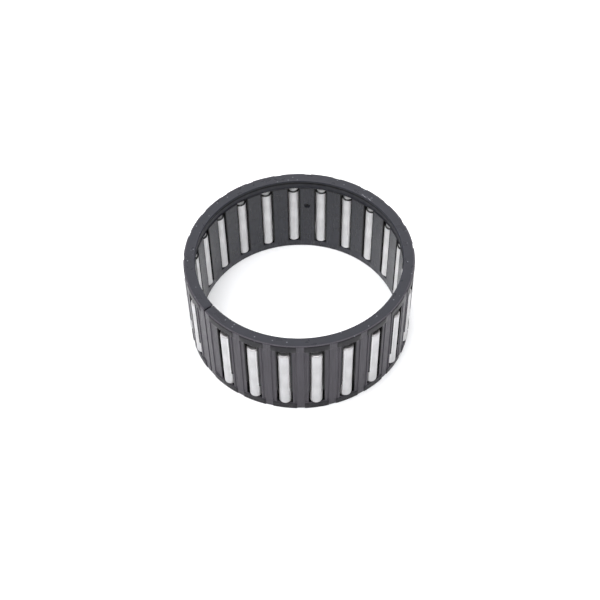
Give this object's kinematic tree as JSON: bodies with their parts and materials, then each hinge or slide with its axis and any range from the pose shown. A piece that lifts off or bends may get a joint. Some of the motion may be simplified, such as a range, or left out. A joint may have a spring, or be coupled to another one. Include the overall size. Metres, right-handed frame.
{
  "type": "needle roller bearing",
  "caption": "Split needle roller and cage assembly: a thin charcoal moulded ring whose pockets hold bright steel needles that roll between a shaft and a housing bore.",
  "frame": {"origin": "centre of the bearing: on its axis, halfway between its two end faces", "axes": "+Z along the bearing's axis, towards the end face with the lip around its inside; the split in the cage is at -Y, and the assembly is symmetric about the YZ plane"},
  "size_m": [0.045, 0.0446, 0.0198],
  "materials": {
    "cage": "charcoal glass-filled polyamide, satin with fine draw marks along the bars",
    "needles": "hardened bearing steel, finely ground and bright"
  },
  "bodies": {
    "cage": {"cage": "cage"},
    "needle_01": {"needle_01": "needles"},
    "needle_02": {"needle_02": "needles"},
    "needle_03": {"needle_03": "needles"},
    "needle_04": {"needle_04": "needles"},
    "needle_05": {"needle_05": "needles"},
    "needle_06": {"needle_06": "needles"},
    "needle_07": {"needle_07": "needles"},
    "needle_08": {"needle_08": "needles"},
    "needle_09": {"needle_09": "needles"},
    "needle_10": {"needle_10": "needles"},
    "needle_11": {"needle_11": "needles"},
    "needle_12": {"needle_12": "needles"},
    "needle_13": {"needle_13": "needles"},
    "needle_14": {"needle_14": "needles"},
    "needle_15": {"needle_15": "needles"},
    "needle_16": {"needle_16": "needles"},
    "needle_17": {"needle_17": "needles"},
    "needle_18": {"needle_18": "needles"},
    "needle_19": {"needle_19": "needles"},
    "needle_20": {"needle_20": "needles"},
    "needle_21": {"needle_21": "needles"},
    "needle_22": {"needle_22": "needles"}
  },
  "joints": [
    {"name": "needle_01_spin", "type": "hinge", "parent": "cage", "child": "needle_01", "pos_m": [0.0048, -0.0207, -0.00035], "axis": [0, 0, 1], "continuous": true},
    {"name": "needle_02_spin", "type": "hinge", "parent": "cage", "child": "needle_02", "pos_m": [0.01029, -0.01859, -0.00035], "axis": [0, 0, 1], "continuous": true},
    {"name": "needle_03_spin", "type": "hinge", "parent": "cage", "child": "needle_03", "pos_m": [0.01499, -0.01507, -0.00035], "axis": [0, 0, 1], "continuous": true},
    {"name": "needle_04_spin", "type": "hinge", "parent": "cage", "child": "needle_04", "pos_m": [0.01854, -0.01038, -0.00035], "axis": [0, 0, 1], "continuous": true},
    {"name": "needle_05_spin", "type": "hinge", "parent": "cage", "child": "needle_05", "pos_m": [0.02068, -0.00491, -0.00035], "axis": [0, 0, 1], "continuous": true},
    {"name": "needle_06_spin", "type": "hinge", "parent": "cage", "child": "needle_06", "pos_m": [0.02123, 0.00095, -0.00035], "axis": [0, 0, 1], "continuous": true},
    {"name": "needle_07_spin", "type": "hinge", "parent": "cage", "child": "needle_07", "pos_m": [0.02016, 0.00673, -0.00035], "axis": [0, 0, 1], "continuous": true},
    {"name": "needle_08_spin", "type": "hinge", "parent": "cage", "child": "needle_08", "pos_m": [0.01754, 0.01199, -0.00035], "axis": [0, 0, 1], "continuous": true},
    {"name": "needle_09_spin", "type": "hinge", "parent": "cage", "child": "needle_09", "pos_m": [0.01359, 0.01634, -0.00035], "axis": [0, 0, 1], "continuous": true},
    {"name": "needle_10_spin", "type": "hinge", "parent": "cage", "child": "needle_10", "pos_m": [0.00859, 0.01944, -0.00035], "axis": [0, 0, 1], "continuous": true},
    {"name": "needle_11_spin", "type": "hinge", "parent": "cage", "child": "needle_11", "pos_m": [0.00294, 0.02105, -0.00035], "axis": [0, 0, 1], "continuous": true},
    {"name": "needle_12_spin", "type": "hinge", "parent": "cage", "child": "needle_12", "pos_m": [-0.00294, 0.02105, -0.00035], "axis": [0, 0, 1], "continuous": true},
    {"name": "needle_13_spin", "type": "hinge", "parent": "cage", "child": "needle_13", "pos_m": [-0.00859, 0.01944, -0.00035], "axis": [0, 0, 1], "continuous": true},
    {"name": "needle_14_spin", "type": "hinge", "parent": "cage", "child": "needle_14", "pos_m": [-0.01359, 0.01634, -0.00035], "axis": [0, 0, 1], "continuous": true},
    {"name": "needle_15_spin", "type": "hinge", "parent": "cage", "child": "needle_15", "pos_m": [-0.01754, 0.01199, -0.00035], "axis": [0, 0, 1], "continuous": true},
    {"name": "needle_16_spin", "type": "hinge", "parent": "cage", "child": "needle_16", "pos_m": [-0.02016, 0.00673, -0.00035], "axis": [0, 0, 1], "continuous": true},
    {"name": "needle_17_spin", "type": "hinge", "parent": "cage", "child": "needle_17", "pos_m": [-0.02123, 0.00095, -0.00035], "axis": [0, 0, 1], "continuous": true},
    {"name": "needle_18_spin", "type": "hinge", "parent": "cage", "child": "needle_18", "pos_m": [-0.02068, -0.00491, -0.00035], "axis": [0, 0, 1], "continuous": true},
    {"name": "needle_19_spin", "type": "hinge", "parent": "cage", "child": "needle_19", "pos_m": [-0.01854, -0.01038, -0.00035], "axis": [0, 0, 1], "continuous": true},
    {"name": "needle_20_spin", "type": "hinge", "parent": "cage", "child": "needle_20", "pos_m": [-0.01499, -0.01507, -0.00035], "axis": [0, 0, 1], "continuous": true},
    {"name": "needle_21_spin", "type": "hinge", "parent": "cage", "child": "needle_21", "pos_m": [-0.01029, -0.01859, -0.00035], "axis": [0, 0, 1], "continuous": true},
    {"name": "needle_22_spin", "type": "hinge", "parent": "cage", "child": "needle_22", "pos_m": [-0.0048, -0.0207, -0.00035], "axis": [0, 0, 1], "continuous": true}
  ]
}
